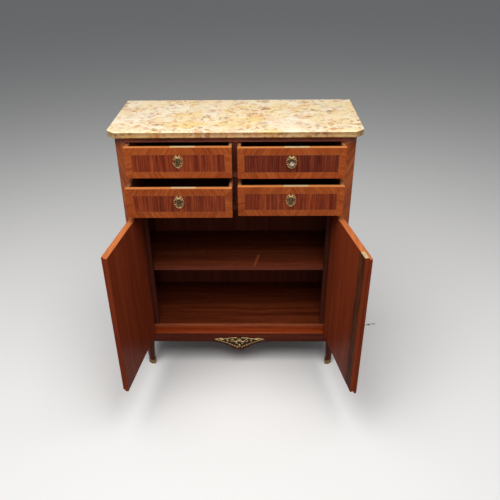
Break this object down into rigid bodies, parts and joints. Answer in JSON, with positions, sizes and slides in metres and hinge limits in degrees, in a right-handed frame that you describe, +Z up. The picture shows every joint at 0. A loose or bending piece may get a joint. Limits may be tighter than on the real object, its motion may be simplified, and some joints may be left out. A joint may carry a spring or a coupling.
{
  "type": "side cabinet",
  "caption": "Side cabinet with canted posts and moulded marble top: drawers over a shelved cupboard with hinged doors, shaped apron, bronze mounts and short tapered legs.",
  "frame": {"origin": "on the floor, under the middle of the cabinet's box as stored (doors and drawers open)", "axes": "+X to the cabinet's right as seen from the front, +Y to its back, +Z up"},
  "size_m": [0.9421, 0.809, 1.027],
  "materials": {
    "marble": "polished",
    "gilt_bronze": "chased and gilt",
    "brass": "satin",
    "steel": "satin",
    "carcase_wood": "planed and waxed",
    "veneered_wood": "french polished veneer"
  },
  "bodies": {
    "carcass": {"marble_top": "marble", "post_front_left": "veneered_wood", "post_front_right": "veneered_wood", "post_rear_left": "veneered_wood", "post_rear_right": "veneered_wood", "side_panel_left": "veneered_wood", "side_panel_right": "veneered_wood", "back_panel": "carcase_wood", "frieze_rail": "veneered_wood", "rear_rails": "carcase_wood", "mid_rail": "veneered_wood", "head_board": "veneered_wood", "drawer_dividers": "carcase_wood", "drawer_runners": "carcase_wood", "door_stops": "veneered_wood", "shelf": "veneered_wood", "shelf_battens": "carcase_wood", "floor_board": "veneered_wood", "apron_rail": "veneered_wood", "apron_mount": "gilt_bronze", "sabots": "gilt_bronze", "carcass_hinge_leaves": "brass"},
    "drawer_upper_left": {"drawer_upper_left_front": "veneered_wood", "drawer_upper_left_sides": "carcase_wood", "drawer_upper_left_back": "carcase_wood", "drawer_upper_left_bottom": "carcase_wood", "drawer_upper_left_lock": "brass", "drawer_upper_left_escutcheon": "gilt_bronze"},
    "drawer_upper_right": {"drawer_upper_right_front": "veneered_wood", "drawer_upper_right_sides": "carcase_wood", "drawer_upper_right_back": "carcase_wood", "drawer_upper_right_bottom": "carcase_wood", "drawer_upper_right_lock": "brass", "drawer_upper_right_escutcheon": "gilt_bronze"},
    "drawer_lower_left": {"drawer_lower_left_front": "veneered_wood", "drawer_lower_left_sides": "carcase_wood", "drawer_lower_left_back": "carcase_wood", "drawer_lower_left_bottom": "carcase_wood", "drawer_lower_left_lock": "brass", "drawer_lower_left_escutcheon": "gilt_bronze"},
    "drawer_lower_right": {"drawer_lower_right_front": "veneered_wood", "drawer_lower_right_sides": "carcase_wood", "drawer_lower_right_back": "carcase_wood", "drawer_lower_right_bottom": "carcase_wood", "drawer_lower_right_lock": "brass", "drawer_lower_right_escutcheon": "gilt_bronze"},
    "drawer_upper_right_key": {"drawer_upper_right_key": "steel"},
    "drawer_upper_right_bolt": {"drawer_upper_right_bolt": "steel"},
    "door_left": {"door_left": "veneered_wood", "door_left_hinge_leaves": "brass"},
    "door_right": {"door_right": "veneered_wood", "door_right_hinge_leaves": "brass", "closing_strip": "veneered_wood", "door_lock": "brass", "bolt_plates": "brass", "door_escutcheon": "gilt_bronze"},
    "door_key": {"door_key": "steel"},
    "upper_bolt": {"upper_bolt": "steel"},
    "lower_bolt": {"lower_bolt": "steel"}
  },
  "joints": [
    {"name": "drawer_upper_left_slide", "type": "slide", "parent": "carcass", "child": "drawer_upper_left", "axis": [0, -1, 0], "range_m": [-0.0607, 0.2193]},
    {"name": "drawer_upper_right_slide", "type": "slide", "parent": "carcass", "child": "drawer_upper_right", "axis": [0, -1, 0], "range_m": [-0.069, 0.211]},
    {"name": "drawer_lower_left_slide", "type": "slide", "parent": "carcass", "child": "drawer_lower_left", "axis": [0, -1, 0], "range_m": [-0.1137, 0.1663]},
    {"name": "drawer_lower_right_slide", "type": "slide", "parent": "carcass", "child": "drawer_lower_right", "axis": [0, -1, 0], "range_m": [-0.0987, 0.1813]},
    {"name": "door_left_swing", "type": "hinge", "parent": "carcass", "child": "door_left", "pos_m": [-0.4051, -0.0158, 0.4526], "axis": [0, 0, -1], "range_deg": [-97.2, 67]},
    {"name": "door_right_swing", "type": "hinge", "parent": "carcass", "child": "door_right", "pos_m": [0.3619, -0.0158, 0.4526], "axis": [0, 0, 1], "range_deg": [-100.1, 67]},
    {"name": "door_key_turn", "type": "hinge", "parent": "door_right", "child": "door_key", "pos_m": [0.41966, -0.36458, 0.4526], "axis": [0.9845, 0.1754, 0], "range_deg": [0, 180]},
    {"name": "upper_bolt_slide", "type": "slide", "parent": "door_right", "child": "upper_bolt", "axis": [0, 0, 1], "range_m": [0, 0.01]},
    {"name": "lower_bolt_slide", "type": "slide", "parent": "door_right", "child": "lower_bolt", "axis": [0, 0, -1], "range_m": [0, 0.01]},
    {"name": "drawer_key_turn", "type": "hinge", "parent": "drawer_upper_right", "child": "drawer_upper_right_key", "pos_m": [0.1749, -0.0805, 0.9379], "axis": [0, -1, 0], "range_deg": [0, 180]},
    {"name": "drawer_bolt_slide", "type": "slide", "parent": "drawer_upper_right", "child": "drawer_upper_right_bolt", "axis": [0, 0, 1], "range_m": [0, 0.008]}
  ],
  "couplings": [
    {"joint": "upper_bolt_slide", "follows": "door_key_turn", "m_per_rad": 0.00318},
    {"joint": "lower_bolt_slide", "follows": "door_key_turn", "m_per_rad": 0.00318},
    {"joint": "drawer_bolt_slide", "follows": "drawer_key_turn", "m_per_rad": 0.00254}
  ]
}
